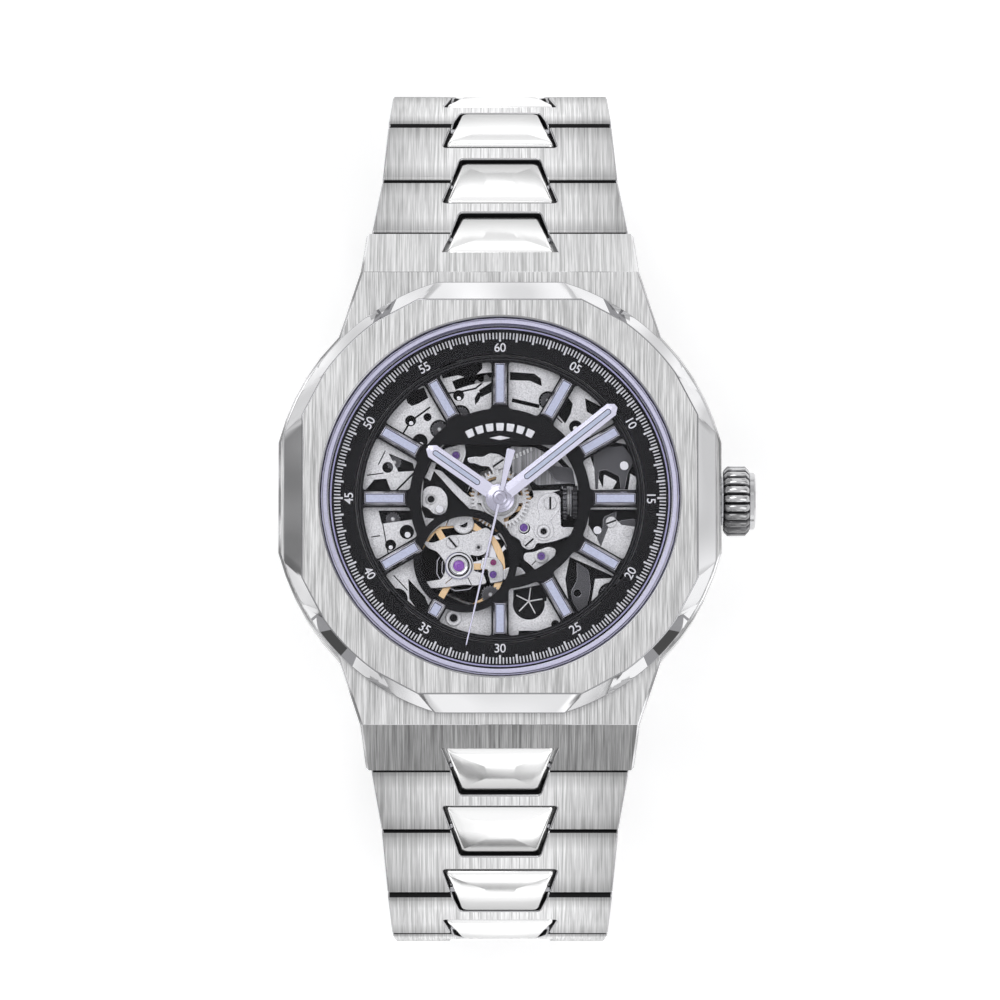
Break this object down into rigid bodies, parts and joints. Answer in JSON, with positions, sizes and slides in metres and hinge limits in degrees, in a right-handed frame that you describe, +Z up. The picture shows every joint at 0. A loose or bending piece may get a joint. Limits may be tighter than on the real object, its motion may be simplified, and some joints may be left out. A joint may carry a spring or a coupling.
{
  "type": "wristwatch",
  "caption": "Skeleton wristwatch with an integrated link bracelet, closed by a folding clasp, with a geared movement, crown and hands.",
  "frame": {"origin": "centre of the clasp's flat outer face, on which the closed watch stands", "axes": "+Z up from the clasp through the dial, +Y towards 12 o'clock, +X towards the crown"},
  "size_m": [0.0432, 0.0794, 0.0467],
  "materials": {
    "brushed_steel": "brushed",
    "polished_steel": "polished",
    "frosted_plate": "frosted and plated silver",
    "gilt_brass": "satin",
    "black_dial": "matte",
    "hands": "polished",
    "sapphire": "clear",
    "gasket_rubber": "matte"
  },
  "bodies": {
    "case": {"mid_case": "brushed_steel", "bezel": "brushed_steel", "crystal": "sapphire", "crystal_gasket": "gasket_rubber", "chapter_ring": "black_dial", "dial": "black_dial", "case_back": "brushed_steel", "case_back_window": "sapphire", "case_back_gasket": "gasket_rubber", "movement_ring": "black_dial", "crown_tube": "polished_steel", "main_plate": "frosted_plate", "barrel_bridge": "frosted_plate", "train_bridge": "frosted_plate", "balance_cock": "frosted_plate", "rotor_bearing": "polished_steel"},
    "crown_slide": {"crown_gasket": "gasket_rubber"},
    "crown": {"crown": "polished_steel", "winding_stem": "polished_steel"},
    "winding_pinion": {"winding_pinion": "polished_steel"},
    "crown_wheel": {"crown_wheel": "polished_steel"},
    "ratchet": {"ratchet_wheel": "polished_steel"},
    "barrel": {"mainspring_barrel": "gilt_brass"},
    "minute_train": {"center_wheel": "gilt_brass", "cannon_pinion": "polished_steel", "minute_hand": "hands"},
    "third_wheel": {"third_wheel": "gilt_brass"},
    "seconds_train": {"fourth_wheel": "gilt_brass", "seconds_hand": "hands"},
    "escape_wheel": {"escape_wheel": "gilt_brass"},
    "pallet_fork": {"pallet_fork": "polished_steel"},
    "balance": {"balance_wheel": "gilt_brass", "hairspring": "polished_steel"},
    "hour_train": {"hour_wheel": "gilt_brass", "hour_hand": "hands"},
    "rotor": {"rotor": "brushed_steel"},
    "link_12_1": {"link_12_1": "brushed_steel"},
    "link_12_2": {"link_12_2": "brushed_steel"},
    "link_12_3": {"link_12_3": "brushed_steel"},
    "link_12_4": {"link_12_4": "brushed_steel"},
    "link_12_5": {"link_12_5": "brushed_steel"},
    "link_12_6": {"link_12_6": "brushed_steel"},
    "link_12_7": {"link_12_7": "brushed_steel"},
    "link_12_8": {"link_12_8": "brushed_steel"},
    "link_6_1": {"link_6_1": "brushed_steel"},
    "link_6_2": {"link_6_2": "brushed_steel"},
    "link_6_3": {"link_6_3": "brushed_steel"},
    "link_6_4": {"link_6_4": "brushed_steel"},
    "link_6_5": {"link_6_5": "brushed_steel"},
    "link_6_6": {"link_6_6": "brushed_steel"},
    "link_6_7": {"link_6_7": "brushed_steel"},
    "link_6_8": {"link_6_8": "brushed_steel"},
    "clasp_cover": {"clasp_cover": "brushed_steel", "cover_hinge_pin": "polished_steel"},
    "outer_blade": {"clasp_outer_blade": "brushed_steel", "blade_hinge_pin": "polished_steel"},
    "inner_blade": {"clasp_inner_blade": "brushed_steel"},
    "button_left": {"push_button_left": "polished_steel"},
    "button_right": {"push_button_right": "polished_steel"}
  },
  "joints": [
    {"name": "crown_pull", "type": "slide", "parent": "case", "child": "crown_slide", "axis": [1, 0, 0], "range_m": [0, 0.0012]},
    {"name": "crown_turn", "type": "hinge", "parent": "crown_slide", "child": "crown", "pos_m": [0, 0, 0.0403], "axis": [1, 0, 0], "continuous": true},
    {"name": "pinion_turn", "type": "hinge", "parent": "case", "child": "winding_pinion", "pos_m": [0, 0, 0.0403], "axis": [1, 0, 0], "continuous": true},
    {"name": "crown_wheel_turn", "type": "hinge", "parent": "case", "child": "crown_wheel", "pos_m": [0.0072, 0.0042, 0.0444], "axis": [0, 0, 1], "continuous": true},
    {"name": "ratchet_turn", "type": "hinge", "parent": "case", "child": "ratchet", "pos_m": [0.0012, 0.0064, 0.0444], "axis": [0, 0, 1], "continuous": true},
    {"name": "seconds_turn", "type": "hinge", "parent": "case", "child": "seconds_train", "pos_m": [0, 0, 0.0444], "axis": [0, 0, -1], "continuous": true},
    {"name": "minute_turn", "type": "hinge", "parent": "case", "child": "minute_train", "pos_m": [0, 0, 0.0444], "axis": [0, 0, -1], "continuous": true},
    {"name": "hour_turn", "type": "hinge", "parent": "case", "child": "hour_train", "pos_m": [0, 0, 0.0444], "axis": [0, 0, -1], "continuous": true},
    {"name": "third_wheel_turn", "type": "hinge", "parent": "case", "child": "third_wheel", "pos_m": [0.00207, -0.00234, 0.0444], "axis": [0, 0, -1], "continuous": true},
    {"name": "escape_wheel_turn", "type": "hinge", "parent": "case", "child": "escape_wheel", "pos_m": [-0.0009, -0.00325, 0.0444], "axis": [0, 0, -1], "continuous": true},
    {"name": "barrel_turn", "type": "hinge", "parent": "case", "child": "barrel", "pos_m": [0.0012, 0.0064, 0.0444], "axis": [0, 0, -1], "continuous": true},
    {"name": "balance_swing", "type": "hinge", "parent": "case", "child": "balance", "pos_m": [-0.00373, -0.00602, 0.0444], "axis": [0, 0, 1], "range_deg": [-150, 150], "stiffness_Nm_per_rad": 0.0000006},
    {"name": "pallet_rock", "type": "hinge", "parent": "case", "child": "pallet_fork", "pos_m": [-0.00069, -0.0054, 0.0444], "axis": [0, 0, 1], "range_deg": [-5.5, 5.5]},
    {"name": "rotor_spin", "type": "hinge", "parent": "case", "child": "rotor", "pos_m": [0, 0, 0.0444], "axis": [0, 0, 1], "continuous": true},
    {"name": "link_12_1_hinge", "type": "hinge", "parent": "case", "child": "link_12_1", "pos_m": [0, 0.02385, 0.03933], "axis": [1, 0, 0], "range_deg": [0, 5]},
    {"name": "link_12_2_hinge", "type": "hinge", "parent": "link_12_1", "child": "link_12_2", "pos_m": [0, 0.02921, 0.03483], "axis": [1, 0, 0], "range_deg": [0, 8]},
    {"name": "link_12_3_hinge", "type": "hinge", "parent": "link_12_2", "child": "link_12_3", "pos_m": [0, 0.03488, 0.03072], "axis": [1, 0, 0], "range_deg": [0, 29]},
    {"name": "link_12_4_hinge", "type": "hinge", "parent": "link_12_3", "child": "link_12_4", "pos_m": [0, 0.03816, 0.02454], "axis": [1, 0, 0], "range_deg": [0, 28]},
    {"name": "link_12_5_hinge", "type": "hinge", "parent": "link_12_4", "child": "link_12_5", "pos_m": [0, 0.03853, 0.01754], "axis": [1, 0, 0], "range_deg": [0, 28]},
    {"name": "link_12_6_hinge", "type": "hinge", "parent": "link_12_5", "child": "link_12_6", "pos_m": [0, 0.03591, 0.01105], "axis": [1, 0, 0], "range_deg": [0, 28]},
    {"name": "link_12_7_hinge", "type": "hinge", "parent": "link_12_6", "child": "link_12_7", "pos_m": [0, 0.03079, 0.00628], "axis": [1, 0, 0], "range_deg": [0, 20]},
    {"name": "link_12_8_hinge", "type": "hinge", "parent": "link_12_7", "child": "link_12_8", "pos_m": [0, 0.02449, 0.00321], "axis": [1, 0, 0], "range_deg": [0, 14]},
    {"name": "link_6_1_hinge", "type": "hinge", "parent": "case", "child": "link_6_1", "pos_m": [0, -0.02385, 0.03933], "axis": [-1, 0, 0], "range_deg": [0, 5]},
    {"name": "link_6_2_hinge", "type": "hinge", "parent": "link_6_1", "child": "link_6_2", "pos_m": [0, -0.02921, 0.03483], "axis": [-1, 0, 0], "range_deg": [0, 8]},
    {"name": "link_6_3_hinge", "type": "hinge", "parent": "link_6_2", "child": "link_6_3", "pos_m": [0, -0.03488, 0.03072], "axis": [-1, 0, 0], "range_deg": [0, 29]},
    {"name": "link_6_4_hinge", "type": "hinge", "parent": "link_6_3", "child": "link_6_4", "pos_m": [0, -0.03816, 0.02454], "axis": [-1, 0, 0], "range_deg": [0, 28]},
    {"name": "link_6_5_hinge", "type": "hinge", "parent": "link_6_4", "child": "link_6_5", "pos_m": [0, -0.03853, 0.01754], "axis": [-1, 0, 0], "range_deg": [0, 28]},
    {"name": "link_6_6_hinge", "type": "hinge", "parent": "link_6_5", "child": "link_6_6", "pos_m": [0, -0.03591, 0.01105], "axis": [-1, 0, 0], "range_deg": [0, 28]},
    {"name": "link_6_7_hinge", "type": "hinge", "parent": "link_6_6", "child": "link_6_7", "pos_m": [0, -0.03079, 0.00628], "axis": [-1, 0, 0], "range_deg": [0, 20]},
    {"name": "link_6_8_hinge", "type": "hinge", "parent": "link_6_7", "child": "link_6_8", "pos_m": [0, -0.02449, 0.00321], "axis": [-1, 0, 0], "range_deg": [0, 14]},
    {"name": "clasp_hinge", "type": "hinge", "parent": "link_12_8", "child": "clasp_cover", "pos_m": [0, 0.01773, 0.0014], "axis": [1, 0, 0], "range_deg": [0, 12]},
    {"name": "outer_blade_hinge", "type": "hinge", "parent": "clasp_cover", "child": "outer_blade", "pos_m": [0, -0.0166, 0.00165], "axis": [1, 0, 0], "range_deg": [0, 100]},
    {"name": "inner_blade_hinge", "type": "hinge", "parent": "outer_blade", "child": "inner_blade", "pos_m": [0, 0.0123, 0.0022], "axis": [-1, 0, 0], "range_deg": [0, 110]},
    {"name": "button_left_press", "type": "slide", "parent": "clasp_cover", "child": "button_left", "axis": [1, 0, 0], "range_m": [0, 0.0006], "stiffness_N_per_m": 300},
    {"name": "button_right_press", "type": "slide", "parent": "clasp_cover", "child": "button_right", "axis": [-1, 0, 0], "range_m": [0, 0.0006], "stiffness_N_per_m": 300}
  ],
  "couplings": [
    {"joint": "pinion_turn", "follows": "crown_turn", "ratio": 1},
    {"joint": "crown_wheel_turn", "follows": "crown_turn", "ratio": -0.46154},
    {"joint": "ratchet_turn", "follows": "crown_turn", "ratio": 0.41379},
    {"joint": "minute_turn", "follows": "seconds_turn", "ratio": 0.016667},
    {"joint": "hour_turn", "follows": "seconds_turn", "ratio": 0.0013889},
    {"joint": "third_wheel_turn", "follows": "seconds_turn", "ratio": -0.083333},
    {"joint": "escape_wheel_turn", "follows": "seconds_turn", "ratio": -4.5},
    {"joint": "barrel_turn", "follows": "seconds_turn", "ratio": -0.0020833},
    {"joint": "pallet_rock", "follows": "balance_swing", "ratio": -0.033333}
  ]
}
